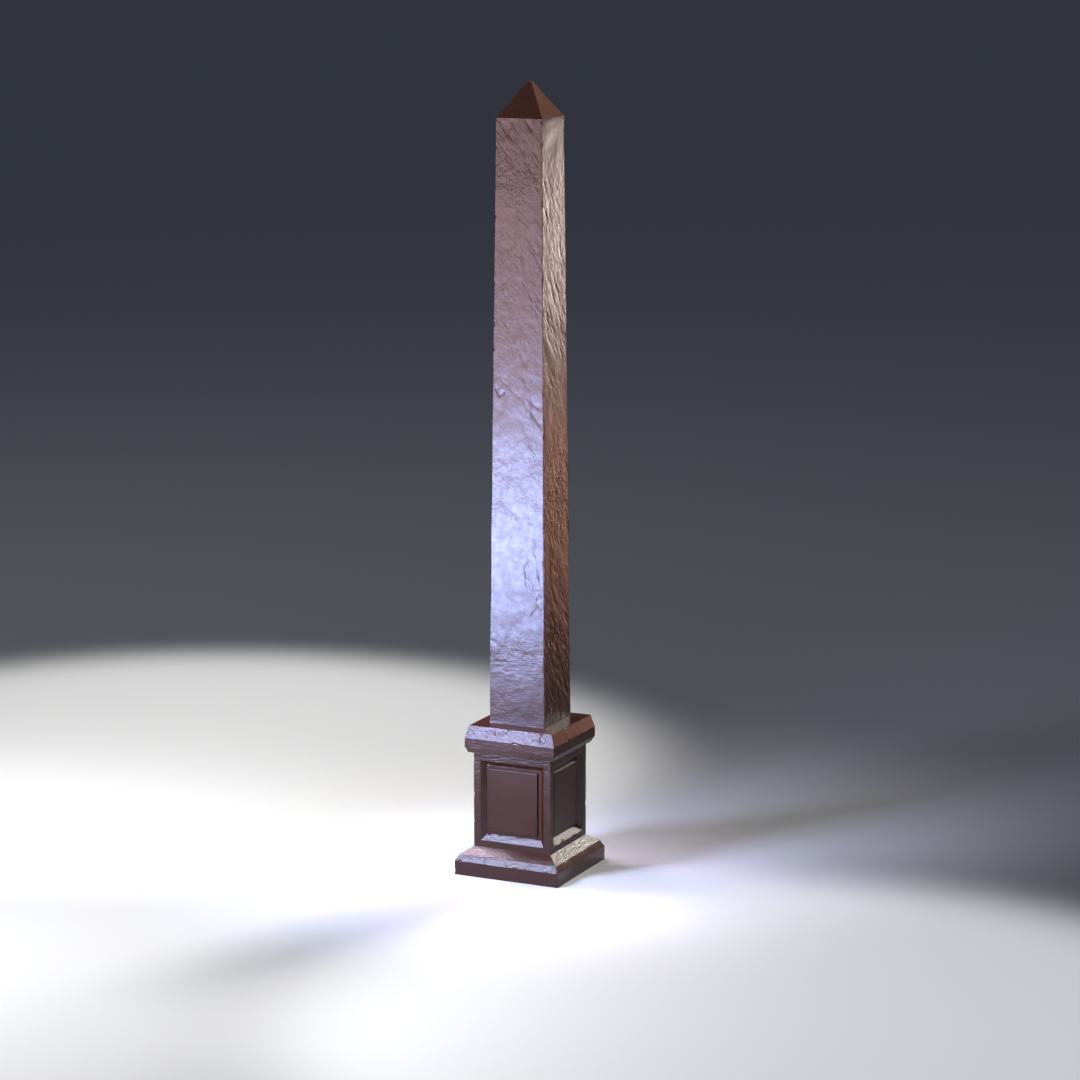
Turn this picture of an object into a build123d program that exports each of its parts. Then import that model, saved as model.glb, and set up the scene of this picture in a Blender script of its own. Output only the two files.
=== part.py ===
from build123d import *
import os

# A tabletop model of an obelisk, cast in resin as a kit of pieces that stand on one another.
# Millimetres, +Z up. The origin is in the middle of the plinth's underside.
# The front is the -Y side, and the four sides are alike.

# Plinth: an upright band, a chamfer over it, and a slope up to the foot of the block
plinth_width = 25.0
plinth_band_height = 3.1
plinth_chamfer_inset = 0.78
plinth_chamfer_rise = 1.4
plinth_slope_rise = 1.65

# Pedestal block, and the frame that is left round the sunk panel in each of its sides
block_width = 18.6
block_height = 21.35
stile_width = 1.65
top_rail_height = 1.75
bottom_rail_height = 1.45

# Sunk panel: bevelled sides that meet in mitres, with a taller slope for its sill
panel_depth = 1.05
bevel_width = 1.05
sill_rise = 1.35

# Tablet let into the floor of each panel
tablet_margin = 0.8
tablet_thickness = 0.8
tablet_seat_depth = 0.4
tablet_clearance = 0.03

# Cap: it oversails the block, chamfered under and over an upright band, and its top sheds water
cap_overhang = 1.5
cap_under_inset = 0.6
cap_under_rise = 1.2
cap_band_height = 2.1
cap_chamfer_inset = 0.75
cap_chamfer_rise = 2.75
cap_slope_rise = 0.2

# Shaft, tapering to its head, and the pyramidion on it with a blunt tip
shaft_foot_width = 13.4
shaft_head_width = 10.85
shaft_height = 132.3
pyramidion_height = 7.45
tip_width = 0.95

# Square key under each piece, and the room that it has in the socket of the piece below
key_width = 5.0
key_length = 2.5
key_lead = 0.4
key_clearance = 0.1
key_end_gap = 0.3

# Heights of the beds where one piece stands on another
plinth_chamfer_foot = plinth_band_height
plinth_slope_foot = plinth_chamfer_foot + plinth_chamfer_rise
block_bed = plinth_slope_foot + plinth_slope_rise
cap_bed = block_bed + block_height
cap_band_foot = cap_bed + cap_under_rise
cap_band_head = cap_band_foot + cap_band_height
cap_slope_foot = cap_band_head + cap_chamfer_rise
shaft_bed = cap_slope_foot + cap_slope_rise
pyramidion_bed = shaft_bed + shaft_height
tip_height = pyramidion_bed + pyramidion_height

# Mouth and floor of the panels, and the tablet in the middle of that floor
mouth_width = block_width - 2 * stile_width
mouth_foot = block_bed + bottom_rail_height
mouth_head = cap_bed - top_rail_height
floor_width = mouth_width - 2 * bevel_width
floor_foot = mouth_foot + sill_rise
floor_head = mouth_head - bevel_width
floor_distance = block_width / 2 - panel_depth
seat_distance = floor_distance - tablet_seat_depth
tablet_width = floor_width - 2 * tablet_margin
tablet_foot = floor_foot + tablet_margin
tablet_head = floor_head - tablet_margin

# The four sides in order round the axis, and the turns that bring the front side to each of them
side_names = ("front", "right", "back", "left")
quarter_turn = 360 / len(side_names)
side_turns = {side: number * quarter_turn for number, side in enumerate(side_names)}


def square_tower(levels):
    """A solid with flat sides through square sections, each given as its width and its height."""
    sections = [Pos(0, 0, height) * Rectangle(width, width) for width, height in levels]
    return loft(sections, ruled=True)


def front_rectangle(width, foot, head, distance):
    """An upright rectangle that faces the front, at a distance from the axis."""
    return Pos(0, -distance, (foot + head) / 2) * Rot(X=90) * Rectangle(width, head - foot)


def key_under(bed):
    """The square key that hangs below a piece's bed, with a tapered end to lead it in."""
    end = bed - key_length
    return square_tower([
        (key_width - 2 * key_lead, end),
        (key_width, end + key_lead),
        (key_width, bed),
    ])


def socket_under(bed):
    """The room for a key below a bed."""
    width = key_width + 2 * key_clearance
    return square_tower([(width, bed - key_length - key_end_gap), (width, bed)])


def make_plinth():
    chamfer_head_width = plinth_width - 2 * plinth_chamfer_inset
    body = square_tower([
        (plinth_width, 0),
        (plinth_width, plinth_chamfer_foot),
        (chamfer_head_width, plinth_slope_foot),
        (block_width, block_bed),
    ])
    return body - socket_under(block_bed)


def panel_cut():
    """The sunk panel of the front side, from its mouth in to its floor, as a solid to take away."""
    mouth = front_rectangle(mouth_width, mouth_foot, mouth_head, block_width / 2)
    floor = front_rectangle(floor_width, floor_foot, floor_head, floor_distance)
    return loft([mouth, floor], ruled=True)


def tablet_seat_cut():
    """The shallow seat in the floor of the front panel, a little larger all round than its tablet."""
    seat = front_rectangle(
        tablet_width + 2 * tablet_clearance,
        tablet_foot - tablet_clearance,
        tablet_head + tablet_clearance,
        seat_distance,
    )
    return extrude(seat, tablet_seat_depth)


def make_block():
    body = square_tower([(block_width, block_bed), (block_width, cap_bed)])
    for turn in side_turns.values():
        body -= Rot(Z=turn) * panel_cut()
        body -= Rot(Z=turn) * tablet_seat_cut()
    return body + key_under(block_bed) - socket_under(cap_bed)


def make_tablet(turn):
    """A tablet with its back on its seat, standing proud of the panel's floor."""
    back = front_rectangle(tablet_width, tablet_foot, tablet_head, seat_distance)
    return Rot(Z=turn) * extrude(back, tablet_thickness)


def make_cap():
    band_width = block_width + 2 * cap_overhang
    body = square_tower([
        (band_width - 2 * cap_under_inset, cap_bed),
        (band_width, cap_band_foot),
        (band_width, cap_band_head),
        (band_width - 2 * cap_chamfer_inset, cap_slope_foot),
        (shaft_foot_width, shaft_bed),
    ])
    return body + key_under(cap_bed) - socket_under(shaft_bed)


def make_shaft():
    body = square_tower([(shaft_foot_width, shaft_bed), (shaft_head_width, pyramidion_bed)])
    return body + key_under(shaft_bed) - socket_under(pyramidion_bed)


def make_pyramidion():
    body = square_tower([(shaft_head_width, pyramidion_bed), (tip_width, tip_height)])
    return body + key_under(pyramidion_bed)


pieces = {
    "plinth": make_plinth(),
    "pedestal_block": make_block(),
    "pedestal_cap": make_cap(),
    "shaft": make_shaft(),
    "pyramidion": make_pyramidion(),
}
for side, turn in side_turns.items():
    pieces[f"{side}_tablet"] = make_tablet(turn)

os.makedirs("parts", exist_ok=True)
for name, piece in pieces.items():
    export_step(piece, f"parts/{name}.step")
    print(name, f"{piece.volume:.1f} cubic mm")
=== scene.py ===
# %% [markdown]
# # A tabletop obelisk in dark resin
#
# This model stands 173.5 mm tall on a 25 mm plinth. It was cast to look like hewn stone, in one dark brown
# resin with a satin sheen. The CAD frame already holds every piece at its true size, so this lesson only
# dresses those pieces: it gives each one a skin with tool marks, cracks and chipped corners, and a finish
# for the resin.
#
# The frame comes first. The beds and sizes of the pieces are read off it.

# %% Load the frame
import math

import bmesh
import bpy
import numpy as np
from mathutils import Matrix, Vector


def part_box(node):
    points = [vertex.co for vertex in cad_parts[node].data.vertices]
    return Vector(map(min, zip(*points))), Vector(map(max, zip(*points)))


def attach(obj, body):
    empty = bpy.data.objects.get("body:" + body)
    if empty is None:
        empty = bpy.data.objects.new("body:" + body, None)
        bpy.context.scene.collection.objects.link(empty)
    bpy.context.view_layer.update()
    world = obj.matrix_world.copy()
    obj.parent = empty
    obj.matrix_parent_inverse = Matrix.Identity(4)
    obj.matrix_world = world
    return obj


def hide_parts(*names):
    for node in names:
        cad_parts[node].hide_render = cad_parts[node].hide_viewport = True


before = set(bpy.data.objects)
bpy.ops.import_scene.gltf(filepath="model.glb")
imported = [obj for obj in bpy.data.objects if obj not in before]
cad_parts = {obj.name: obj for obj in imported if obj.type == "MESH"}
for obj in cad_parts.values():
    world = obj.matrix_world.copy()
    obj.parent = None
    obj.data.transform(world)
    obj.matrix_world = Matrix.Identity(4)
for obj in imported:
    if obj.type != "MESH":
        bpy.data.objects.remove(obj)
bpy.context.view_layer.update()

MM = 0.001

# %% [markdown]
# ## The camera
#
# A long lens from well back keeps the shaft's edges almost parallel. The angle, the distance and the lens
# come from fitting a pinhole camera to the corners that can be seen. The shaft stands a little to the left
# of the middle, and a small sensor shift does that without turning the camera.

# %% Place the camera
PICTURE_SIDE_PX = 1080
FOCAL_LENGTH_PX = 3559
AXIS_LEFT_OF_MIDDLE_PX = 9.8
VIEW_AZIMUTH = math.radians(25.36)
VIEW_PITCH = math.radians(11.25)
VIEW_DISTANCE = 777 * MM
AIM = Vector((0, 0, 74 * MM))
NEAR_CLIP = 10 * MM

towards_camera = Vector((
    math.sin(VIEW_AZIMUTH) * math.cos(VIEW_PITCH),
    -math.cos(VIEW_AZIMUTH) * math.cos(VIEW_PITCH),
    math.sin(VIEW_PITCH),
))
lens = bpy.data.cameras.new("portrait_lens")
lens.lens = lens.sensor_width * FOCAL_LENGTH_PX / PICTURE_SIDE_PX
lens.shift_x = AXIS_LEFT_OF_MIDDLE_PX / PICTURE_SIDE_PX
lens.clip_start = NEAR_CLIP
camera = bpy.data.objects.new("camera", lens)
camera.location = AIM + VIEW_DISTANCE * towards_camera
camera.rotation_euler = (-towards_camera).to_track_quat("-Z", "Y").to_euler()
bpy.context.scene.collection.objects.link(camera)
bpy.context.scene.camera = camera
print("lens in mm:", round(lens.lens, 1))

# %% [markdown]
# ## Node trees in few words
#
# Both the tool marks (Geometry Nodes) and the resin (shader nodes) are node trees. A few small helpers keep
# them readable: one adds a node and fills its sockets, two do a sum on values or on vectors, one makes a
# smooth step between two values, one makes noise, and one names the sockets of a tree's interface.

# %% Helpers for node trees
FINER_LAYER_SCALE = 2.17    # not a round number, so that finer layers of noise don't line up with coarse ones


def add(tree, kind, inputs=None, **settings):
    """Adds a node. A socket given in inputs is linked, and any other value is set."""
    node = tree.nodes.new(kind)
    for name, value in settings.items():
        setattr(node, name, value)
    for name, value in (inputs or {}).items():
        if isinstance(value, bpy.types.NodeSocket):
            tree.links.new(value, node.inputs[name])
        else:
            node.inputs[name].default_value = value
    return node


def calc(tree, operation, *values):
    """One sum on one, two or three values, and the socket that holds its result."""
    return add(tree, "ShaderNodeMath", dict(enumerate(values)), operation=operation).outputs[0]


def vector_calc(tree, operation, *values):
    """One sum on vectors, and the socket that holds its result."""
    return add(tree, "ShaderNodeVectorMath", dict(enumerate(values)), operation=operation).outputs[0]


def smooth_step(tree, value, low, high):
    """0 where value is low, 1 where it is high, and a smooth change between. High may be the smaller."""
    inputs = {"Value": value, "From Min": low, "From Max": high}
    return add(tree, "ShaderNodeMapRange", inputs, interpolation_type="SMOOTHSTEP").outputs["Result"]


def noise(tree, vector, detail=2.0, distortion=0.0):
    """Cloudy noise from 0 to 1, with cells one unit wide and as many finer layers as detail says."""
    inputs = {
        "Vector": vector,
        "Scale": 1.0,
        "Detail": detail,
        "Lacunarity": FINER_LAYER_SCALE,
        "Distortion": distortion,
    }
    return add(tree, "ShaderNodeTexNoise", inputs).outputs[0]


def declare(tree, direction, kind, names):
    """Adds named sockets of one kind to a tree's interface."""
    for name in names:
        tree.interface.new_socket(name, in_out=direction, socket_type="NodeSocket" + kind)


# %% [markdown]
# ## Reading the pieces' sizes off the frame
#
# Every piece but the panelled block and its tablets is a square tower: its outside is a list of half-widths
# and heights. Those can be read from the CAD corners. Keys and sockets are hidden inside, and they never
# stand out past the faces, so the upper hull of all (height, half-width) points leaves just the outside.

# %% Find the beds and the outer profiles
SAME_POINT = 0.01 * MM
HAIR = SAME_POINT / 10
BED = {
    "plinth": 0.0,
    "pedestal_block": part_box("plinth")[1].z,
    "pedestal_cap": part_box("pedestal_block")[1].z,
    "shaft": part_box("pedestal_cap")[1].z,
    "pyramidion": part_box("shaft")[1].z,
}


def corners(node):
    """A CAD node's corner points, in metres."""
    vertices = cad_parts[node].data.vertices
    points = np.empty(3 * len(vertices), np.float32)
    vertices.foreach_get("co", points)
    return points.reshape(-1, 3).astype(float)


def outer_profile(node):
    """The (half-width, height) points of a tower's outside, from its bed to its top."""
    points = corners(node)
    widest = {}
    for x, _, z in points[points[:, 2] > BED[node] - SAME_POINT]:
        height = round(z / SAME_POINT) * SAME_POINT
        widest[height] = max(widest.get(height, 0.0), abs(x))
    hull = []
    for height, width in sorted(widest.items()):
        while len(hull) > 1:
            (w0, z0), (w1, z1) = hull[-2:]
            run = math.hypot(width - w0, height - z0)
            if (w1 - w0) * (height - z0) - (width - w0) * (z1 - z0) > SAME_POINT * run:
                break
            hull.pop()
        hull.append((width, height))
    return hull


for node in BED:
    print(node, [(round(w / MM, 2), round(z / MM, 2)) for w, z in outer_profile(node)])

# %% [markdown]
# ## Skins in small cells
#
# Tool marks need points to move, so each tower gets a skin of small quads: a stack of square rings, closed
# below and above. Each point also keeps what the marks will follow: where it lies on its face (its grain,
# in millimetres), how far it is from the nearest sharp edge (its arris), and how free it is to move. Points
# at a bed aren't free, so one piece still sits tight on the next.

# %% Make a tower's skin
SIDES = ("front", "right", "back", "left")
HELD_LENGTH = 0.6 * MM


def spread(start, end, cell):
    """Evenly spaced values from start up to, but not including, end."""
    steps = max(2, round(abs(end - start) / cell))
    return start + (end - start) * np.arange(steps) / steps


def turned_to(side, points):
    """Points of the front side, turned about the axis to another side."""
    x, y, z = np.moveaxis(points, -1, 0)
    for _ in range(side):
        x, y = -y, x
    return np.stack([x, y, z], axis=-1)


def grain_of(side, across, up):
    """Where points lie on a side: millimetres across it and up it, and the side's number."""
    across, up = np.broadcast_arrays(across / MM, up / MM)
    return np.stack([across, up, np.full(across.shape, side)], axis=-1)


def write_mark(piece, mark, values):
    """Keeps a value for each point of a piece, as an attribute of its mesh."""
    kind, field = ("FLOAT_VECTOR", "vector") if mark == "grain" else ("FLOAT", "value")
    attributes = piece.data.attributes
    attribute = attributes.get(mark) or attributes.new(mark, kind, "POINT")
    attribute.data.foreach_set(field, values.astype(np.float32).ravel())


def read_mark(piece, mark):
    """The values that a piece's points keep, or zeros."""
    size, field = (3, "vector") if mark == "grain" else (1, "value")
    values = np.zeros(size * len(piece.data.vertices), np.float32)
    if mark in piece.data.attributes:
        piece.data.attributes[mark].data.foreach_get(field, values)
    return values.reshape(-1, size).squeeze().astype(float)


def make_piece(name, points, faces, marks):
    """A mesh object at the origin, whose points keep their marks."""
    mesh = bpy.data.meshes.new(name)
    mesh.from_pydata(points.reshape(-1, 3).tolist(), [], faces)
    piece = bpy.data.objects.new(name, mesh)
    bpy.context.scene.collection.objects.link(piece)
    for mark, values in marks.items():
        write_mark(piece, mark, values)
    print(name, len(faces), "faces")
    return piece


def tower_rings(profile, cell):
    """Half-width, height and length up the face of each ring, and the lengths at which the face bends."""
    rings, bends = [], [0.0]
    for (w0, z0), (w1, z1) in zip(profile, profile[1:]):
        run = math.hypot(w1 - w0, z1 - z0)
        share = spread(0.0, 1.0, cell / run)
        bends.append(bends[-1] + run)
        rings.append(np.stack([w0 + (w1 - w0) * share, z0 + (z1 - z0) * share, bends[-2] + run * share]))
    rings.append(np.array([[profile[-1][0]], [profile[-1][1]], [bends[-1]]]))
    return np.hstack(rings)[:, :, None], np.array(bends)


def tower_skin(name, profile, cell_across, cell_up):
    """The skin of a square tower, closed at both ends."""
    (half, height, length), bends = tower_rings(profile, cell_up)
    across = spread(-1.0, 1.0, cell_across / half.max()) * half
    front = np.stack([across, 0 * across - half, 0 * across + height], axis=-1)
    sides = range(len(SIDES))
    points = np.concatenate([turned_to(side, front) for side in sides], axis=1)
    arris = np.minimum(half - abs(across), abs(length - bends).min(axis=1)[:, None])
    free = np.clip(np.minimum(length, bends[-1] - length) / HELD_LENGTH, 0, 1)
    marks = {
        "grain": np.concatenate([grain_of(side, across, length) for side in sides], axis=1),
        "arris": np.tile(arris, len(SIDES)) / MM,
        "free": np.tile(free + 0 * across, len(SIDES)),
    }
    rings, around = points.shape[:2]
    index = np.arange(rings * around).reshape(rings, around)
    ahead = np.roll(index, -1, axis=1)
    quads = np.stack([index[:-1], ahead[:-1], ahead[1:], index[1:]], axis=-1).reshape(-1, 4)
    faces = quads.tolist() + [index[0, ::-1].tolist(), index[-1].tolist()]
    return make_piece(name, points, faces, marks)


# %% Skins of the plinth, the cap, the shaft and the pyramidion
TOWER_CELLS = {
    "plinth": (0.13 * MM, 0.13 * MM),
    "pedestal_cap": (0.13 * MM, 0.13 * MM),
    "shaft": (0.27 * MM, 0.29 * MM),
    "pyramidion": (0.13 * MM, 0.13 * MM),
}
skins = {
    node: tower_skin(node + "_skin", outer_profile(node), *cells)
    for node, cells in TOWER_CELLS.items()
}

# %% [markdown]
# ## The panelled block and its tablets
#
# Each side of the block is a flat frame round a sunk panel, whose bevels meet in mitres, and a shallow seat
# for the tablet in the panel's floor. A side is one grid whose lines fall on those edges, pushed in by a
# depth. Each bevel has as many cells as the one that it meets, so the mitre runs along the cells'
# diagonals. Where the depth steps straight down, two grid lines share one place.

# %% Read the panel off the block
block_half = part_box("pedestal_block")[1].x
BLOCK_FOOT, BLOCK_HEAD = BED["pedestal_block"], BED["pedestal_cap"]
block_points = corners("pedestal_block")
outside_key = np.maximum(abs(block_points[:, 0]) + SAME_POINT, block_half / 2)
panel_points = block_points[-block_points[:, 1] > outside_key]
steps_in = np.round((block_half + panel_points[:, 1]) / SAME_POINT)
levels, points_there = np.unique(steps_in, return_counts=True)
flat_levels = np.sort(levels[np.argsort(points_there)[-3:]])    # most corners lie on the three flat levels
FACE_DEPTH, FLOOR_DEPTH, SEAT_DEPTH = flat_levels * SAME_POINT


def panel_rectangle(depth):
    """Half-width, foot and head of the widest rectangle at a depth behind the block's face."""
    level = panel_points[abs(block_half + panel_points[:, 1] - depth) < SAME_POINT]
    return abs(level[:, 0]).max(), level[:, 2].min(), level[:, 2].max()


mouth, panel_floor = panel_rectangle(FACE_DEPTH), panel_rectangle(FLOOR_DEPTH)
tablet_low, tablet_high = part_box("front_tablet")
seat = (tablet_high.x, tablet_low.z, tablet_high.z)      # drawn tight round its tablet
for name, rectangle in {"mouth": mouth, "floor": panel_floor, "seat": seat}.items():
    print(name, "of the panel in mm:", [round(size / MM, 2) for size in rectangle])

# %% Make one side of a panelled block, or a tablet
def grid_faces(depth, first):
    """Quads over a grid of depths. A quad that isn't flat is cut along its crease."""
    rows, columns = depth.shape
    faces = []
    for row in range(rows - 1):
        for column in range(columns - 1):
            a = first + row * columns + column
            b, c, d = a + 1, a + columns + 1, a + columns
            da, db = depth[row, column], depth[row, column + 1]
            dc, dd = depth[row + 1, column + 1], depth[row + 1, column]
            if abs(da + dc - db - dd) < HAIR:
                faces.append([a, b, c, d])
            elif abs(da - dc) > abs(db - dd):
                faces += [[a, b, c], [a, c, d]]
            else:
                faces += [[a, b, d], [b, c, d]]
    return faces


def inside(rectangle, across, height):
    """How far points lie inside a rectangle's edges. It is negative outside."""
    half, foot, head = rectangle
    return np.minimum(half - abs(across), np.minimum(height - foot, head - height))


def merge_doubles(piece):
    """Joins points that share a place, so that the skin is closed."""
    skin = bmesh.new()
    skin.from_mesh(piece.data)
    bmesh.ops.remove_doubles(skin, verts=skin.verts, dist=HAIR)
    bmesh.ops.recalc_face_normals(skin, faces=skin.faces)
    skin.to_mesh(piece.data)
    skin.free()


BLOCK_CELL = 0.12 * MM
SEAT_CELL = 4 * BLOCK_CELL
BEVEL_STEPS = round(abs(panel_floor[0] - mouth[0]) / BLOCK_CELL)


def lines_inward(outer, mouth_edge, floor_edge, seat_edge):
    """Grid lines from an outer edge in to the seat, with two at the seat's own edge."""
    frame_lines = spread(outer, mouth_edge, BLOCK_CELL)
    bevel_lines = np.linspace(mouth_edge, floor_edge, BEVEL_STEPS, endpoint=False)
    margin_lines = spread(floor_edge, seat_edge, BLOCK_CELL)
    return np.concatenate([frame_lines, bevel_lines, margin_lines, [seat_edge]])


def lines_through(low, high):
    """Grid lines from one outer edge to the other, and which of them lie in the seat."""
    before, after = lines_inward(*low), lines_inward(*high)[::-1]
    middle = np.append(spread(low[3], high[3], SEAT_CELL), high[3])
    in_seat = np.repeat([False, True, False], [len(before), len(middle), len(after)])
    return np.concatenate([before, middle, after]), in_seat


FRAME_RIPPLES = 2.0
PANEL_RIPPLES = 0.2
SILL_PICKS = 1.0
BLOCK_PICKS = 0.25


def block_skin(name):
    """The skin of the block: four panelled sides and flat ends. The frame and sills have the most marks."""
    half_widths = np.array([block_half, mouth[0], panel_floor[0], seat[0]])
    feet = (BLOCK_FOOT, mouth[1], panel_floor[1], seat[1])
    heads = (BLOCK_HEAD, mouth[2], panel_floor[2], seat[2])
    columns, columns_in_seat = lines_through(-half_widths, half_widths)
    rows, rows_in_seat = lines_through(feet, heads)
    across, height = np.meshgrid(columns, rows)

    side_share = (mouth[0] - abs(across)) / (mouth[0] - panel_floor[0])
    sill_share = (height - mouth[1]) / (panel_floor[1] - mouth[1])
    head_share = (mouth[2] - height) / (mouth[2] - panel_floor[2])
    share = np.clip(np.minimum(side_share, np.minimum(sill_share, head_share)), 0, 1)
    seated = rows_in_seat[:, None] & columns_in_seat[None, :]
    depth = np.where(seated, SEAT_DEPTH, FLOOR_DEPTH * share)
    front = np.stack([across, depth - block_half, height], axis=-1)

    whole = (block_half, BLOCK_FOOT, BLOCK_HEAD)
    on_frame = inside(mouth, across, height) < 0
    on_sill = (sill_share > 0) & (sill_share < 1) & (sill_share < side_share)
    bare = inside(seat, across, height) > -SAME_POINT
    to_edge = np.minimum(inside(whole, across, height), abs(inside(mouth, across, height)))
    one_side = {
        "arris": np.minimum(to_edge, abs(inside(panel_floor, across, height))) / MM,
        "free": np.clip(np.minimum(height - BLOCK_FOOT, BLOCK_HEAD - height) / HELD_LENGTH, 0, 1) * ~bare,
        "ripples": np.where(on_frame, FRAME_RIPPLES, PANEL_RIPPLES),
        "picks": np.where(on_sill, SILL_PICKS, BLOCK_PICKS),
    }
    sides = range(len(SIDES))
    points = np.stack([turned_to(side, front) for side in sides])
    marks = {mark: np.stack([values] * len(SIDES)) for mark, values in one_side.items()}
    marks["grain"] = np.stack([grain_of(side, across, height) for side in sides])

    faces = [face for side in sides for face in grid_faces(depth, side * depth.size)]
    index = np.arange(len(SIDES) * depth.size).reshape(len(SIDES), *depth.shape)
    faces += [index[:, -1, :-1].ravel().tolist(), index[:, 0, :-1].ravel()[::-1].tolist()]
    piece = make_piece(name, points, faces, marks)
    merge_doubles(piece)
    return piece


skins["pedestal_block"] = block_skin("pedestal_block_skin")

# %% Make the tablets
TABLET_CELL = 0.25 * MM
TABLET_ROUNDING = 0.12 * MM
ROUNDING_STEPS = 4


def rounded_lines(low, high):
    """Grid lines from one end to the other, two at each end and close together over the rounding."""
    near = np.linspace(0, TABLET_ROUNDING, ROUNDING_STEPS, endpoint=False)
    middle = spread(low + TABLET_ROUNDING, high - TABLET_ROUNDING, TABLET_CELL)
    far = high - np.append(near, TABLET_ROUNDING)[::-1]
    return np.concatenate([[low], low + near, middle, far, [high]])


def tablet_skin(side):
    """A plate with softened front edges, standing in its seat."""
    half, thickness = tablet_high.x, tablet_high.y - tablet_low.y
    outline = (half, tablet_low.z, tablet_high.z)
    across, height = np.meshgrid(rounded_lines(-half, half), rounded_lines(tablet_low.z, tablet_high.z))
    to_edge = inside(outline, across, height)
    over_rounding = TABLET_ROUNDING - np.clip(to_edge, 0, TABLET_ROUNDING)
    depth = TABLET_ROUNDING - np.sqrt(TABLET_ROUNDING**2 - over_rounding**2)
    depth[[0, -1], :] = thickness
    depth[:, [0, -1]] = thickness
    front = np.stack([across, tablet_low.y + depth, height], axis=-1)
    index = np.arange(depth.size).reshape(depth.shape)
    rim = np.concatenate([index[0, :-1], index[:-1, -1], index[-1, :0:-1], index[:0:-1, 0]])
    faces = grid_faces(depth, 0) + [rim[::-1].tolist()]
    marks = {"grain": grain_of(side, across, height), "arris": np.where(depth < thickness, 1.0, 0.0)}
    piece = make_piece(SIDES[side] + "_tablet_skin", turned_to(side, front), faces, marks)
    merge_doubles(piece)
    return piece


for side, name in enumerate(SIDES):
    skins[name + "_tablet"] = tablet_skin(side)

# %% [markdown]
# ## Where the marks go
#
# A hewn face isn't rough all over: bands of slanting ridges, pecked patches and long strokes follow one
# another up the shaft, with calm stretches between. Those bands are listed here by the length up a face.
# The back takes the front's bands, and the left side the right one's. On the plinth only the slopes are
# pecked.

# %% Bands of tool marks
WHOLE = (-20, 20)
LEFT = (-20, -1)
RIGHT = (1, 20)
# Each band: where it starts and ends in mm up the face, the strength of its marks, and the part of the
# width that it takes.
SHAFT_FRONT_BANDS = {
    "ridges": [
        (0, 6, 0.5, WHOLE), (13, 24, 0.7, WHOLE), (22, 40, 1.0, RIGHT),
        (57, 65, 1.0, RIGHT), (57, 65, 0.6, LEFT), (65, 71, 0.6, WHOLE),
        (70, 79, 1.3, WHOLE), (79, 93, 0.9, WHOLE), (93, 108, 1.4, WHOLE),
        (108, 116, 0.9, WHOLE), (116, 132, 1.2, WHOLE),
    ],
    "ripples": [(0, 9, 0.7, WHOLE), (9, 19, 0.8, WHOLE)],
    "picks": [
        (0, 7, 1.2, LEFT), (13, 20, 0.7, WHOLE), (45, 62, 0.7, WHOLE),
        (79, 108, 0.6, WHOLE), (114, 124, 1.6, WHOLE), (118, 128, 0.8, LEFT),
    ],
    "strokes": [(24, 44, 0.5, RIGHT), (66, 72, 0.6, RIGHT), (86, 106, 0.6, WHOLE), (122, 132, 1.2, WHOLE)],
}
SHAFT_SIDE_BANDS = {
    "ridges": [
        (0, 34, 1.2, WHOLE), (34, 64, 1.2, WHOLE), (64, 78, 1.1, WHOLE),
        (78, 104, 0.75, WHOLE), (102, 122, 1.0, WHOLE),
    ],
    "ripples": [],
    "picks": [(16, 26, 1.0, WHOLE), (38, 64, 2.2, WHOLE), (63, 78, 1.0, WHOLE), (98, 126, 0.9, WHOLE)],
    "strokes": [
        (0, 20, 1.5, WHOLE), (20, 34, 0.8, WHOLE), (50, 78, 0.6, RIGHT),
        (78, 106, 0.9, WHOLE), (106, 124, 1.0, WHOLE),
    ],
}
PLINTH_BANDS = {
    "ridges": [],
    "ripples": [(3.1, 9.0, 0.5, WHOLE)],
    "picks": [(3.1, 9.0, 1.4, WHOLE)],
    "strokes": [],
}
CAP_BANDS = {
    "ridges": [(3.4, 7.0, 0.6, WHOLE)],
    "ripples": [(0.0, 3.4, 1.2, WHOLE)],
    "picks": [(2.6, 7.0, 0.6, WHOLE)],
    "strokes": [],
}
BANDS = {
    "shaft": (SHAFT_FRONT_BANDS, SHAFT_SIDE_BANDS),
    "plinth": (PLINTH_BANDS, PLINTH_BANDS),
    "pedestal_cap": (CAP_BANDS, CAP_BANDS),
}
FADE_SHARE = 0.6
SIDE_FADE_MM = 3.0
SHOWING_STRENGTH = 0.1


def ramp(value, start, end, fade):
    """1 from start to end, fading to 0 over a length that lies half inside and half outside."""
    rise = np.clip((value - start) / fade + 0.5, 0, 1)
    fall = np.clip((end - value) / fade + 0.5, 0, 1)
    return np.minimum(rise, fall)


def band_strength(bands, across, up):
    """The strength of one kind of mark at each place on a face."""
    strength = np.zeros_like(up)
    for start, end, value, (left, right) in bands:
        band = ramp(up, start, end, FADE_SHARE * (end - start)) * ramp(across, left, right, SIDE_FADE_MM)
        strength = np.maximum(strength, value * band)
    return strength


for node, (front_bands, side_bands) in BANDS.items():
    across, up, side = read_mark(skins[node], "grain").T
    for mark in front_bands:
        front_strength = band_strength(front_bands[mark], across, up)
        side_strength = band_strength(side_bands[mark], across, up)
        strength = np.where(side % 2 == 0, front_strength, side_strength)
        write_mark(skins[node], mark, strength)
        print(mark, "cover", round(100 * np.mean(strength > SHOWING_STRENGTH)), "% of the", node)

# %% [markdown]
# ## Cracks and gouges
#
# A few marks are too particular to leave to noise: a jagged break near the shaft's foot, cracks above it, a
# notch in the left arris, long strokes down the right side, and small cracks in the cap. Each is a line
# drawn on a face, in millimetres across and up it, and the opposite face takes the same line. It is broken
# into short steps that wander a little, because a straight crack looks drawn. One wall of each cut is
# steeper than the other, as a chisel leaves it.

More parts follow.
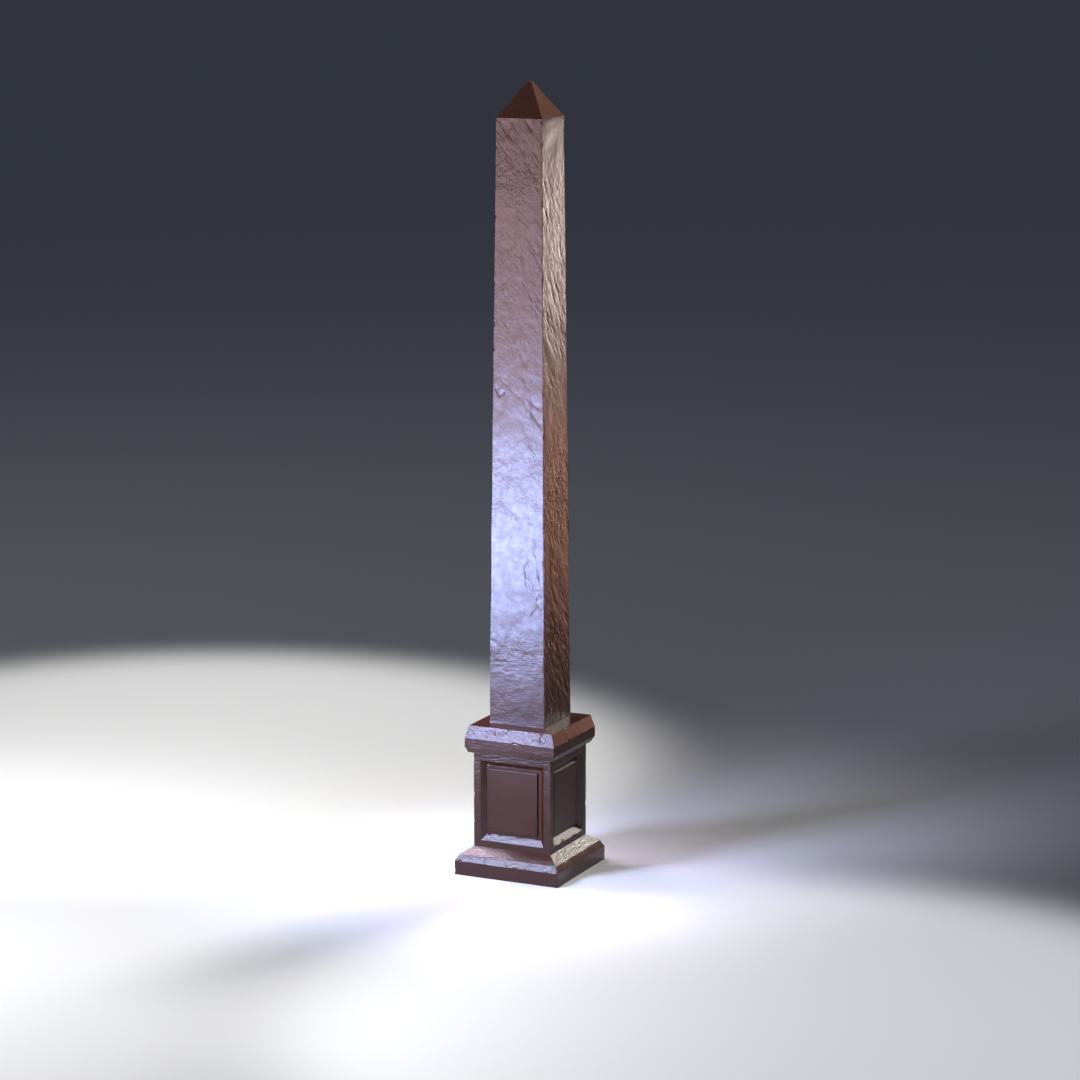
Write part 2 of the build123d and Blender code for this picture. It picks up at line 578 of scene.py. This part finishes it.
# %% Carve the cracks
# Each crack: piece, side, half-width and depth in mm, and its points.
CRACKS = [
    ("shaft", 0, 0.20, 0.060, [(2.5, 36.6), (1.7, 35.3), (2.2, 32.9), (2.5, 31.1)]),
    ("shaft", 0, 0.18, 0.050, [(4.7, 28.5), (4.8, 26.9), (3.5, 25.0), (3.7, 23.9)]),
    ("shaft", 0, 0.18, 0.045, [(4.8, 26.9), (6.0, 25.4)]),
    ("shaft", 0, 0.18, 0.030, [(4.5, 38.6), (4.6, 37.5), (5.2, 32.9)]),
    ("shaft", 0, 0.20, 0.045, [(-6.1, 18.4), (-3.9, 16.9)]),
    ("shaft", 0, 0.20, 0.045, [(1.5, 15.8), (2.7, 16.2), (4.1, 15.3), (3.9, 13.6)]),
    ("shaft", 0, 0.20, 0.040, [(-5.3, 13.8), (-3.0, 14.0)]),
    ("shaft", 0, 0.20, 0.035, [(-5.6, 12.6), (-3.7, 12.7)]),
    ("shaft", 0, 0.25, 0.030, [(2.8, 46.7), (2.8, 45.3)]),
    ("shaft", 0, 0.20, 0.025, [(0.0, 46.0), (0.1, 45.1)]),
    ("shaft", 0, 0.20, 0.035, [(-0.9, 131.4), (-0.5, 129.5)]),
    ("shaft", 0, 0.25, 0.045, [(1.9, 131.4), (2.9, 130.1)]),
    ("shaft", 0, 0.30, 0.050, [(1.7, 123.1), (2.9, 121.4), (3.9, 119.8)]),
    ("shaft", 0, 0.20, 0.040, [(-0.1, 113.0), (0.2, 111.3), (1.8, 109.7)]),
    ("shaft", 0, 0.20, 0.030, [(-3.8, 109.5), (-2.2, 107.3)]),
    ("shaft", 0, 0.22, 0.080, [(-5.1, 74.0), (-4.4, 72.7), (-3.7, 73.2)]),
    ("shaft", 0, 0.25, 0.040, [(0.3, 82.4), (1.7, 79.7)]),
    ("shaft", 0, 0.30, 0.050, [(3.2, 69.4), (5.8, 66.2)]),
    ("shaft", 0, 0.20, 0.040, [(-3.5, 75.6), (-1.6, 74.3), (0.8, 72.3)]),
    ("shaft", 0, 0.20, 0.040, [(2.9, 72.1), (4.6, 70.5)]),
    ("shaft", 1, 0.22, 0.043, [(-1.5, 93.3), (1.5, 91.1), (2.8, 87.4)]),
    ("shaft", 1, 0.22, 0.043, [(-4.0, 86.5), (-3.5, 85.0), (-1.7, 83.5), (0.3, 80.4)]),
    ("shaft", 1, 0.22, 0.043, [(-2.1, 87.8), (-0.1, 86.1)]),
    ("shaft", 1, 0.22, 0.043, [(-4.7, 90.0), (-2.7, 88.1)]),
    ("shaft", 1, 0.22, 0.043, [(-4.3, 80.8), (-3.4, 76.9), (-1.6, 74.9)]),
    ("shaft", 1, 0.22, 0.043, [(2.4, 82.8), (3.4, 80.6)]),
    ("shaft", 1, 0.22, 0.043, [(-4.7, 118.7), (-3.2, 115.2), (-2.5, 113.0)]),
    ("shaft", 1, 0.22, 0.043, [(-2.4, 118.5), (-1.1, 117.0)]),
    ("shaft", 1, 0.22, 0.043, [(-1.8, 107.6), (-0.3, 104.1)]),
    ("shaft", 1, 0.22, 0.043, [(2.5, 106.7), (3.2, 103.0)]),
    ("shaft", 1, 0.22, 0.043, [(-2.5, 97.7), (0.0, 92.0)]),
    ("shaft", 1, 0.22, 0.043, [(0.1, 95.9), (1.6, 94.4)]),
    ("shaft", 1, 0.22, 0.043, [(-4.3, 113.0), (-4.0, 110.8)]),
    ("shaft", 1, 0.22, 0.045, [(-0.1, 53.9), (3.0, 49.9)]),
    ("shaft", 1, 0.22, 0.045, [(-4.0, 45.3), (-1.9, 43.6)]),
    ("shaft", 1, 0.22, 0.045, [(-1.5, 34.4), (0.8, 33.1), (1.4, 32.0)]),
    ("shaft", 1, 0.22, 0.045, [(-4.0, 16.0), (-0.9, 9.6)]),
    ("shaft", 1, 0.22, 0.045, [(2.3, 11.4), (4.4, 6.1)]),
    ("shaft", 1, 0.22, 0.045, [(-5.6, 3.9), (-4.3, 0.9)]),
    ("shaft", 1, 0.22, 0.045, [(0.1, 6.1), (1.1, 1.3)]),
    ("pedestal_cap", 0, 0.14, 0.080, [(-5.6, 5.6), (-3.2, 5.2), (-1.4, 5.4)]),
    ("pedestal_cap", 0, 0.11, 0.060, [(7.6, 6.0), (7.2, 4.8), (7.7, 3.9)]),
    ("pedestal_cap", 0, 0.11, 0.050, [(6.0, 4.6), (7.4, 4.9), (8.6, 4.5)]),
]
CRACK_STEP_MM = 0.5
CRACK_WANDER_MM = 0.12
CRACK_SEED = 7
GENTLE_WALL_SHARE = 2.2    # how much wider the gentle wall is than the steep one
chance = np.random.default_rng(CRACK_SEED)


def wander(line):
    """The same line in short steps, each a little off its course."""
    steps = [
        np.linspace(start, end, max(2, round(math.dist(start, end) / CRACK_STEP_MM)), endpoint=False)
        for start, end in zip(line, line[1:])
    ]
    path = np.concatenate([*steps, [line[-1]]])
    return path + chance.normal(0.0, CRACK_WANDER_MM, path.shape)


def carve(piece, side, half_width, depth, line):
    """Deepens the cut at a piece's points near a line on one side. The wall left of its way is gentler."""
    grain = read_mark(piece, "grain")
    nearest = np.full(len(grain), np.inf)
    path = wander(line)
    for start, run in zip(path, np.diff(path, axis=0)):
        places = grain[:, :2] - start
        share = np.clip(places @ run / (run @ run), 0, 1)
        on_left = run[0] * places[:, 1] > run[1] * places[:, 0]
        distance = np.linalg.norm(places - share[:, None] * run, axis=1)
        nearest = np.minimum(nearest, np.where(on_left, distance / GENTLE_WALL_SHARE, distance))
    crack = depth * np.exp(-((nearest / half_width) ** 2)) * (grain[:, 2] == side)
    write_mark(piece, "cut", np.maximum(read_mark(piece, "cut"), crack))


for node, side, half_width, depth, line in CRACKS:
    for same_side in (side, side + 2):
        carve(skins[node], same_side, half_width, depth, line)
print(2 * len(CRACKS), "cracks carved")

# %% [markdown]
# ## The hewing tree
#
# One Geometry Nodes tree makes every tool mark, so the pieces differ only in its inputs. All sizes are in
# millimetres. It adds up a height at each point: broad swells, slanting ridges, level ripples, pecked pits,
# strokes, chips along the arrises and the carved cracks. It then moves the point along its normal. Marks
# fade out beside an arris, which stays crisp, and at a bed.

# %% Build the hewing tree
HEWING_SIZES = [
    "Swell depth", "Swell size",
    "Ridge depth", "Ridge width", "Ridge length", "Ridge slant",
    "Ripple depth", "Ripple width", "Ripple length",
    "Pick depth", "Pick size",
    "Stroke depth", "Stroke width", "Stroke length", "Stroke slant",
    "Patch size",
    "Chip depth", "Chip size", "Chip reach",
    "Arris width", "Seed",
]
SIDE_STEP = 61.3
LAYER_STEP = 7.7
NOISE_MIDDLE = 0.5
HUMP_DISTORTION = 0.4
GROOVE_DISTORTION = 0.5
PATCH_LEAST_SHARE = 0.2
# Between these two values of its noise, a patch, a groove or a chip comes in.
PATCH_EDGES = (0.4, 0.55)
GROOVE_EDGES = (0.54, 0.64)
CHIP_EDGES = (0.56, 0.7)


def mark_socket(tree, name, kind="FLOAT"):
    """The socket of a mark that the points keep, in Geometry Nodes."""
    return add(tree, "GeometryNodeInputNamedAttribute", {"Name": name}, data_type=kind).outputs["Attribute"]


def along_grain(tree, place, slant, width, length):
    """The place on a face, turned upright from its slant and measured in marks."""
    upright = add(tree, "ShaderNodeVectorRotate", {"Vector": place, "Angle": slant}, rotation_type="Z_AXIS")
    size = add(tree, "ShaderNodeCombineXYZ", {"X": width, "Y": length, "Z": 1.0})
    return vector_calc(tree, "DIVIDE", upright.outputs[0], size.outputs[0])


def uneven(tree, place, detail):
    """Soft humps and hollows, between about -0.5 and 0.5."""
    return calc(tree, "SUBTRACT", noise(tree, place, detail, HUMP_DISTORTION), NOISE_MIDDLE)


def product(tree, *values):
    """All values multiplied together."""
    result = values[0]
    for value in values[1:]:
        result = calc(tree, "MULTIPLY", result, value)
    return result


def build_hewing():
    """The tree that cuts the marks, with every size as a named input."""
    tree = bpy.data.node_groups.new("hewing", "GeometryNodeTree")
    declare(tree, "INPUT", "Geometry", ["Skin"])
    declare(tree, "INPUT", "Float", HEWING_SIZES)
    declare(tree, "INPUT", "Material", ["Resin"])
    declare(tree, "OUTPUT", "Geometry", ["Hewn"])
    size = add(tree, "NodeGroupInput").outputs

    grain = add(tree, "ShaderNodeSeparateXYZ", {0: mark_socket(tree, "grain", "FLOAT_VECTOR")}).outputs
    own_layer = calc(tree, "MULTIPLY_ADD", grain["Z"], SIDE_STEP, size["Seed"])
    place = add(tree, "ShaderNodeCombineXYZ", {"X": grain["X"], "Y": grain["Y"], "Z": own_layer}).outputs[0]
    arris = mark_socket(tree, "arris")

    def patches(layer):
        """Where a layer shows: a cloud of its own for each, from the least share to 1."""
        offset = vector_calc(tree, "ADD", place, (layer * LAYER_STEP,) * 3)
        cloud = noise(tree, vector_calc(tree, "DIVIDE", offset, size["Patch size"]))
        shown = smooth_step(tree, cloud, *PATCH_EDGES)
        return calc(tree, "MULTIPLY_ADD", shown, 1 - PATCH_LEAST_SHARE, PATCH_LEAST_SHARE)

    def layer_of(height, mark, number):
        """A layer of marks: its height, the kind of mark whose strength it takes, and its cloud's number."""
        return product(tree, height, mark_socket(tree, mark), patches(number))

    swell_place = vector_calc(tree, "DIVIDE", place, size["Swell size"])
    swell = calc(tree, "SUBTRACT", noise(tree, swell_place, detail=3.0), NOISE_MIDDLE)
    swell = product(tree, swell, size["Swell depth"])

    ridge_place = along_grain(tree, place, size["Ridge slant"], size["Ridge width"], size["Ridge length"])
    ridges = product(tree, uneven(tree, ridge_place, detail=3.0), size["Ridge depth"])
    ridges = layer_of(ridges, "ridges", 1)

    ripple_place = along_grain(tree, place, 0.0, size["Ripple length"], size["Ripple width"])
    ripples = product(tree, uneven(tree, ripple_place, detail=3.0), size["Ripple depth"])
    ripples = layer_of(ripples, "ripples", 2)

    pick_place = vector_calc(tree, "DIVIDE", place, size["Pick size"])
    picks = product(tree, uneven(tree, pick_place, detail=1.0), size["Pick depth"])
    picks = layer_of(picks, "picks", 3)

    stroke_place = along_grain(tree, place, size["Stroke slant"], size["Stroke width"], size["Stroke length"])
    groove_noise = noise(tree, stroke_place, detail=1.0, distortion=GROOVE_DISTORTION)
    groove = smooth_step(tree, groove_noise, *GROOVE_EDGES)
    strokes = layer_of(product(tree, groove, size["Stroke depth"], -1.0), "strokes", 4)

    position = add(tree, "GeometryNodeInputPosition").outputs[0]
    position_mm = vector_calc(tree, "MULTIPLY", position, (1 / MM,) * 3)
    chip_place = vector_calc(tree, "DIVIDE", position_mm, size["Chip size"])
    chip_place = vector_calc(tree, "ADD", chip_place, size["Seed"])
    broken = smooth_step(tree, noise(tree, chip_place, detail=3.0), *CHIP_EDGES)
    beside_arris = smooth_step(tree, arris, size["Chip reach"], 0.0)
    chips = product(tree, broken, beside_arris, size["Chip depth"], -1.0)

    marks = ridges
    for layer in (ripples, picks, strokes):
        marks = calc(tree, "ADD", marks, layer)
    height = calc(tree, "MULTIPLY_ADD", marks, smooth_step(tree, arris, 0.0, size["Arris width"]), swell)
    height = calc(tree, "SUBTRACT", calc(tree, "ADD", height, chips), mark_socket(tree, "cut"))
    height = product(tree, height, mark_socket(tree, "free"))
    normal = add(tree, "GeometryNodeInputNormal").outputs[0]
    move = {0: normal, "Scale": product(tree, height, MM)}
    offset = add(tree, "ShaderNodeVectorMath", move, operation="SCALE")

    keep = {"Geometry": size["Skin"], "Name": "relief", "Value": height}
    noted = add(tree, "GeometryNodeStoreNamedAttribute", keep, data_type="FLOAT", domain="POINT")
    moved = add(tree, "GeometryNodeSetPosition", {"Geometry": noted.outputs[0], "Offset": offset.outputs[0]})
    whole = add(tree, "GeometryNodeRealizeInstances", {"Geometry": moved.outputs[0]})
    dressed = add(tree, "GeometryNodeSetMaterial", {"Geometry": whole.outputs[0], "Material": size["Resin"]})
    add(tree, "NodeGroupOutput", {"Hewn": dressed.outputs[0]})
    return tree


hewing = build_hewing()
print("hewing tree:", len(hewing.nodes), "nodes")

# %% [markdown]
# ## The resin
#
# All pieces are one dark brown resin with a satin sheen. Its colour mottles a little, and shade is painted
# into the cuts
# and hollows: the colour goes darker where the surface lies deep. The sheen breaks up where the surface is
# rough. The finest tool marks are too small for the skin's cells, so the shader adds them as bump. They
# follow the same bands as the large ones, because the points kept the strengths.

# %% Groups that the finishes share
def mark_fac(tree, name, output="Fac"):
    """The socket of a mark that the points keep, in a shader."""
    return add(tree, "ShaderNodeAttribute", attribute_name=name).outputs[output]


CLOUD_EDGES = (0.3, 0.7)
# painted shade in the cuts: it goes from none to full between these shares of its depth
PAINTED_SHADE_EDGES = (0.3, 1.2)
FINE_SIZES = [
    "Pick depth", "Pick size",
    "Stroke depth", "Stroke width", "Stroke length", "Slant",
    "Ripple depth",
    "Grain depth", "Grain size",
]


def build_fine_marks():
    """Height in mm of the finest tool marks."""
    tree = bpy.data.node_groups.new("fine_marks", "ShaderNodeTree")
    declare(tree, "INPUT", "Float", FINE_SIZES)
    declare(tree, "OUTPUT", "Float", ["Height"])
    size = add(tree, "NodeGroupInput").outputs
    grain = add(tree, "ShaderNodeSeparateXYZ", {0: mark_fac(tree, "grain", "Vector")}).outputs
    layer = calc(tree, "MULTIPLY", grain["Z"], SIDE_STEP)
    place = add(tree, "ShaderNodeCombineXYZ", {"X": grain["X"], "Y": grain["Y"], "Z": layer}).outputs[0]
    pecks = uneven(tree, vector_calc(tree, "DIVIDE", place, size["Pick size"]), detail=1.0)
    pecks = product(tree, pecks, mark_fac(tree, "picks"), size["Pick depth"])
    scratch_place = along_grain(tree, place, size["Slant"], size["Stroke width"], size["Stroke length"])
    slanting = calc(tree, "ADD", mark_fac(tree, "ridges"), mark_fac(tree, "strokes"))
    scratches = product(tree, uneven(tree, scratch_place, detail=1.0), slanting, size["Stroke depth"])
    level_place = along_grain(tree, place, 0.0, size["Stroke length"], size["Stroke width"])
    level = uneven(tree, level_place, detail=1.0)
    level = product(tree, level, mark_fac(tree, "ripples"), size["Ripple depth"])
    speck_place = vector_calc(tree, "DIVIDE", place, size["Grain size"])
    specks = product(tree, noise(tree, speck_place, detail=2.0), size["Grain depth"])
    height = pecks
    for layer in (scratches, level, specks):
        height = calc(tree, "ADD", height, layer)
    add(tree, "NodeGroupOutput", {"Height": height})
    return tree


def build_resin_body():
    """Where the resin mottles, how its sheen varies, and where shade is painted into the deep cuts."""
    tree = bpy.data.node_groups.new("resin_body", "ShaderNodeTree")
    declare(tree, "INPUT", "Float", ["Mottle size", "Grain size", "Painted shade depth"])
    declare(tree, "OUTPUT", "Float", ["Mottle", "Sheen", "Painted shade"])
    size = add(tree, "NodeGroupInput").outputs
    place = add(tree, "ShaderNodeTexCoord").outputs["Object"]
    place = vector_calc(tree, "MULTIPLY", place, (1 / MM,) * 3)
    mottle = noise(tree, vector_calc(tree, "DIVIDE", place, size["Mottle size"]), detail=4.0)
    sheen = noise(tree, vector_calc(tree, "DIVIDE", place, size["Grain size"]), detail=3.0)
    # Painted shade: the deeper a point lies below its face, the darker its colour is painted.
    depth = calc(tree, "DIVIDE", product(tree, mark_fac(tree, "relief"), -1.0), size["Painted shade depth"])
    outputs = {
        "Mottle": smooth_step(tree, mottle, *CLOUD_EDGES),
        "Sheen": sheen,
        "Painted shade": smooth_step(tree, depth, *PAINTED_SHADE_EDGES),
    }
    add(tree, "NodeGroupOutput", outputs)
    return tree


fine_marks = build_fine_marks()
resin_body = build_resin_body()
print("shader groups:", fine_marks.name, "and", resin_body.name)

# %% Three finishes of one resin
RESIN_BROWN = (0.055, 0.0135, 0.0042, 1)
RESIN_LIGHT = (0.068, 0.0180, 0.0060, 1)
# the painted shade colour, for the deepest cuts and hollows
RESIN_PAINTED_SHADE = (0.024, 0.0060, 0.0022, 1)


def place_group(tree, group, values):
    """Adds a shader group to a material, sets its inputs, and gives its outputs."""
    node = add(tree, "ShaderNodeGroup", node_tree=group)
    for name, value in values.items():
        node.inputs[name].default_value = value
    return node.outputs


def colour_mix(tree, share, first, second):
    """Mixes two colours. A Mix node has sockets of one name for each kind, so these are found by number."""
    node = add(tree, "ShaderNodeMix", data_type="RGBA")
    for index, value in ((0, share), (6, first), (7, second)):
        if isinstance(value, bpy.types.NodeSocket):
            tree.links.new(value, node.inputs[index])
        else:
            node.inputs[index].default_value = value
    return node.outputs[2]


def resin_finish(name, body_values, mark_values, smoothest, roughest):
    """A resin with its own size of mottle and fine marks, and its range of roughness."""
    material = bpy.data.materials.new(name)
    material.use_nodes = True
    tree = material.node_tree
    shader = tree.nodes["Principled BSDF"]
    body = place_group(tree, resin_body, body_values)
    marks = place_group(tree, fine_marks, mark_values)
    brown = colour_mix(tree, body["Mottle"], RESIN_BROWN, RESIN_LIGHT)
    # Painted shade: the deep cuts and hollows are given a darker colour.
    tree.links.new(colour_mix(tree, body["Painted shade"], brown, RESIN_PAINTED_SHADE), shader.inputs["Base Color"])
    low, high = CLOUD_EDGES
    sheen = {
        "Value": body["Sheen"],
        "From Min": low, "From Max": high,
        "To Min": smoothest, "To Max": roughest,
    }
    tree.links.new(add(tree, "ShaderNodeMapRange", sheen).outputs["Result"], shader.inputs["Roughness"])
    bump = add(tree, "ShaderNodeBump", {"Height": marks["Height"], "Strength": 1.0, "Distance": MM})
    tree.links.new(bump.outputs["Normal"], shader.inputs["Normal"])
    return material


SLANT = math.radians(-32)    # the marks lean to the left at their heads
FINE_MARKS = {
    "Pick depth": 0.045, "Pick size": 0.55,
    "Stroke depth": 0.032, "Stroke width": 0.55, "Stroke length": 2.0, "Slant": SLANT,
    "Ripple depth": 0.045,
    "Grain depth": 0.010, "Grain size": 0.6,
}
DRESSED_FINE_MARKS = FINE_MARKS | {
    "Pick depth": 0.06, "Pick size": 0.45, "Stroke depth": 0.042, "Stroke width": 0.4, "Grain depth": 0.008,
}
SMOOTH_FINE_MARKS = FINE_MARKS | {"Grain depth": 0.022, "Grain size": 1.6}
# the painted shade depth is how deep a cut lies before its painted shade is full
HEWN_BODY = {"Mottle size": 9.0, "Grain size": 1.2, "Painted shade depth": 0.2}
DRESSED_BODY = HEWN_BODY | {"Mottle size": 7.0}
SMOOTH_BODY = HEWN_BODY | {"Mottle size": 6.0, "Grain size": 1.5}
# Each finish: its body, its fine marks, and its least and greatest roughness.
FINISHES = {
    "hewn_resin": (HEWN_BODY, FINE_MARKS, 0.35, 0.40),
    "dressed_resin": (DRESSED_BODY, DRESSED_FINE_MARKS, 0.28, 0.31),
    "smooth_resin": (SMOOTH_BODY, SMOOTH_FINE_MARKS, 0.35, 0.37),
}
finishes = {name: resin_finish(name, *settings) for name, settings in FINISHES.items()}
print("finishes:", ", ".join(finishes))

# %% [markdown]
# ## Hewing the pieces
#
# The shaft is hewn deepest. The courses of the pedestal are dressed: their faces are flatter, and small
# chips break their edges. The tablets are left smooth. A Geometry Nodes modifier cuts the marks, and
# new_from_object then turns the result into a plain mesh, because a finished piece can't lean on a live
# modifier once it leaves Blender.

# %% Hew every piece
NO_MARKS = {name: 0.0 if name.endswith(("depth", "slant", "Seed")) else 1.0 for name in HEWING_SIZES}
SHAFT_MARKS = NO_MARKS | {
    "Swell depth": 0.30, "Swell size": 6.5,
    "Ridge depth": 0.12, "Ridge width": 1.1, "Ridge length": 2.7, "Ridge slant": SLANT,
    "Ripple depth": 0.08, "Ripple width": 0.8, "Ripple length": 2.6,
    "Pick depth": 0.08, "Pick size": 0.8,
    "Stroke depth": 0.05, "Stroke width": 0.8, "Stroke length": 7.0, "Stroke slant": SLANT,
    "Patch size": 6.0,
    "Chip depth": 0.10, "Chip size": 1.4, "Chip reach": 0.3, "Arris width": 0.4, "Seed": 3.4,
}
DRESSED_MARKS = NO_MARKS | {
    "Swell depth": 0.06, "Swell size": 3.2,
    "Ridge depth": 0.04, "Ridge width": 0.9, "Ridge length": 2.6, "Ridge slant": SLANT,
    "Ripple depth": 0.04, "Ripple width": 1.0, "Ripple length": 4.0,
    "Pick depth": 0.05, "Pick size": 0.7,
    "Patch size": 4.0,
    "Chip depth": 0.14, "Chip size": 1.2, "Chip reach": 0.3, "Arris width": 0.2, "Seed": 11.6,
}
PYRAMID_MARKS = NO_MARKS | {
    "Swell depth": 0.10, "Swell size": 3.5,
    "Chip depth": 0.08, "Chip size": 1.2, "Chip reach": 0.3, "Seed": 51.2,
}
MARKS = {
    "shaft": ("hewn_resin", SHAFT_MARKS),
    "pyramidion": ("hewn_resin", PYRAMID_MARKS),
    "plinth": ("dressed_resin", DRESSED_MARKS | {"Seed": 21.6}),
    "pedestal_block": ("dressed_resin", DRESSED_MARKS | {"Seed": 31.6}),
    "pedestal_cap": ("dressed_resin", DRESSED_MARKS | {"Seed": 41.6}),
}


def hew(piece, resin, marks):
    """Cuts the marks into a piece, and leaves it as a plain mesh that is crisp along its arrises."""
    modifier = piece.modifiers.new("hewing", "NODES")
    modifier.node_group = hewing
    for socket in hewing.interface.items_tree:
        if socket.name in marks:
            modifier[socket.identifier] = marks[socket.name]
        elif socket.name == "Resin":
            modifier[socket.identifier] = resin
    skin = piece.data
    evaluated = piece.evaluated_get(bpy.context.evaluated_depsgraph_get())
    piece.data = bpy.data.meshes.new_from_object(evaluated)
    piece.modifiers.remove(modifier)
    bpy.data.meshes.remove(skin)
    on_arris = read_mark(piece, "arris") < SAME_POINT / MM
    edges = np.empty(2 * len(piece.data.edges), np.int32)
    piece.data.edges.foreach_get("vertices", edges)
    piece.data.shade_smooth()
    crisp = piece.data.attributes.new("sharp_edge", "BOOLEAN", "EDGE")
    crisp.data.foreach_set("value", on_arris[edges].reshape(-1, 2).all(axis=1))


for node, piece in skins.items():
    slot, marks = MARKS.get(node, ("smooth_resin", NO_MARKS))
    hew(piece, finishes[slot], marks)
    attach(piece, "root")
    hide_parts(node)
    relief = read_mark(piece, "relief")
    print(node, "relief in mm from", round(relief.min(), 3), "to", round(relief.max(), 3))

# %% [markdown]
# ## The floor
#
# The model stands on a plain pale floor. The camera and the resin's sheen see it pale, but it throws little
# light back up: the Light Path node gives it a darker colour for that. So the sides of the model keep their
# own shade.

# %% Lay the floor
FLOOR_REACH = 6.0
FLOOR_PALE = (0.80, 0.80, 0.81, 1)
FLOOR_BOUNCE = (0.15, 0.15, 0.15, 1)
FLOOR_ROUGHNESS = 0.9
floor_corners = [(x * FLOOR_REACH, y * FLOOR_REACH, 0) for x, y in ((-1, -1), (1, -1), (1, 1), (-1, 1))]
floor_mesh = bpy.data.meshes.new("floor")
floor_mesh.from_pydata(floor_corners, [], [(0, 1, 2, 3)])
floor = bpy.data.objects.new("floor", floor_mesh)
bpy.context.scene.collection.objects.link(floor)
pale = bpy.data.materials.new("pale_floor")
pale.use_nodes = True
pale_tree = pale.node_tree
path = add(pale_tree, "ShaderNodeLightPath").outputs
mirrored = calc(pale_tree, "MAXIMUM", path["Is Glossy Ray"], path["Is Transmission Ray"])
seen = calc(pale_tree, "MAXIMUM", path["Is Camera Ray"], mirrored)
floor_shader = pale_tree.nodes["Principled BSDF"].inputs
pale_tree.links.new(colour_mix(pale_tree, seen, FLOOR_BOUNCE, FLOOR_PALE), floor_shader["Base Color"])
floor_shader["Roughness"].default_value = FLOOR_ROUGHNESS
floor.data.materials.append(pale)
print("floor reaches", FLOOR_REACH, "m each way")

# %% [markdown]
# ## Soft boxes
#
# A satin surface shows its lamps as soft bright shapes. Each flat face mirrors one small part of the room,
# and is bright only where a soft box stands there. Cool boxes and a rosy one stand to the left, at the
# heights that the shaft, the chamfers, the sills and the slopes mirror, and warm ones behind to the right.
# A box high behind the model lights the floor in front and throws the shadow forward. Only the overhead box
# shines all round. The light of the others is kept narrow, so that the rest of the floor stays dim.

# %% Set up the soft boxes
def lamp(name, place, aim, width, height, watts, colour, spread_deg):
    """A soft box: a flat rectangle of light at a place, turned towards its aim."""
    light = bpy.data.lights.new(name, "AREA")
    light.shape = "RECTANGLE"
    light.size, light.size_y = width * MM, height * MM
    light.energy = watts
    light.color = colour
    light.spread = math.radians(spread_deg)
    box = bpy.data.objects.new(name, light)
    box.location = Vector(place) * MM
    box.rotation_euler = (Vector(aim) * MM - box.location).to_track_quat("-Z", "Y").to_euler()
    box.visible_camera = False
    bpy.context.scene.collection.objects.link(box)


# Each box: name, place and aim in mm, width and height in mm, watts, colour, and spread in degrees.
LAMPS = [
    ("cool_low_box", (-67, -142, 44), (0, -6, 86), 24, 30, 0.0610, (0.43, 0.54, 1.0), 60),
    ("rosy_high_box", (-84, -174, 112), (0, -6, 146), 60, 96, 0.0370, (1.0, 0.73, 0.80), 70),
    ("cool_cap_box", (-84, -186, 78), (0, -10, 31), 30, 20, 0.0008, (0.50, 0.58, 1.0), 12),
    ("cool_key_box", (-84, -128, 142), (0, -10, 8), 44, 70, 0.0225, (0.58, 0.65, 1.0), 30),
    ("cool_slope_box", (-84, 5, 187), (0, -11, 6), 40, 40, 0.0115, (0.88, 0.74, 1.0), 30),
    ("overhead_box", (-294, 53, 633), (0, 0, 20), 400, 400, 0.36, (0.90, 0.94, 1.0), 180),
    ("back_box", (0, 150, 450), (-130, -185, 0), 100, 100, 0.32, (1.0, 1.0, 1.0), 46),
    ("warm_high_box", (100, 340, 108), (0, 0, 134), 40, 56, 0.0060, (1.0, 0.77, 0.70), 26),
    ("warm_low_box", (112, 340, 22), (0, 0, 66), 40, 56, 0.0030, (1.0, 0.46, 0.32), 28),
    ("warm_top_box", (87, 340, 309), (3, 0, 170), 50, 50, 0.0010, (1.0, 0.52, 0.34), 40),
    ("right_slope_box", (102, 340, 161), (8, 0, 8), 110, 50, 0.0150, (1.0, 0.93, 0.84), 22),
]
for settings in LAMPS:
    lamp(*settings)
print(len(LAMPS), "soft boxes")

# %% [markdown]
# ## Pools of light on the floor
#
# A photographer can brighten a floor and leave the model alone: a spot lamp straight above lights one
# round pool with a soft rim. One pool lies behind the model to the left, and one in front to the right. Both
# hardly light the model, or the parts of the floor that its faces mirror. The rest of the room is dim and a
# little blue.

# %% Set up the pools and the room
POOL_LAMP_HEIGHT = 300
POOL_LAMP_RADIUS = 12
POOL_BLEND_SHARE = 0.45
ROOM_DIM = (0.037, 0.042, 0.056, 1)
# Each pool: name, place of its middle and radius in mm, watts and colour.
POOLS = [
    ("left_pool", (-118, 52), 128, 3.0, (1.0, 0.98, 0.94)),
    ("front_pool", (92, -78), 112, 2.6, (0.95, 0.96, 1.0)),
]


def pool(name, middle, radius, watts, colour):
    """A spot lamp straight above the floor, which lights one round pool on it."""
    light = bpy.data.lights.new(name, "SPOT")
    light.spot_size = 2 * math.atan(radius / POOL_LAMP_HEIGHT)
    light.spot_blend = POOL_BLEND_SHARE
    light.shadow_soft_size = POOL_LAMP_RADIUS * MM
    light.energy = watts
    light.color = colour
    spot = bpy.data.objects.new(name, light)
    spot.location = Vector((*middle, POOL_LAMP_HEIGHT)) * MM
    bpy.context.scene.collection.objects.link(spot)


for settings in POOLS:
    pool(*settings)
print(len(POOLS), "pools of light")

world = bpy.data.worlds.new("studio")
bpy.context.scene.world = world
world.use_nodes = True
world.node_tree.nodes["Background"].inputs["Color"].default_value = ROOM_DIM

# %% [markdown]
# ## The colour transform
#
# The render shows its colours as the Standard view transform gives them.

# %% Set the colour transform
bpy.context.scene.view_settings.view_transform = "Standard"
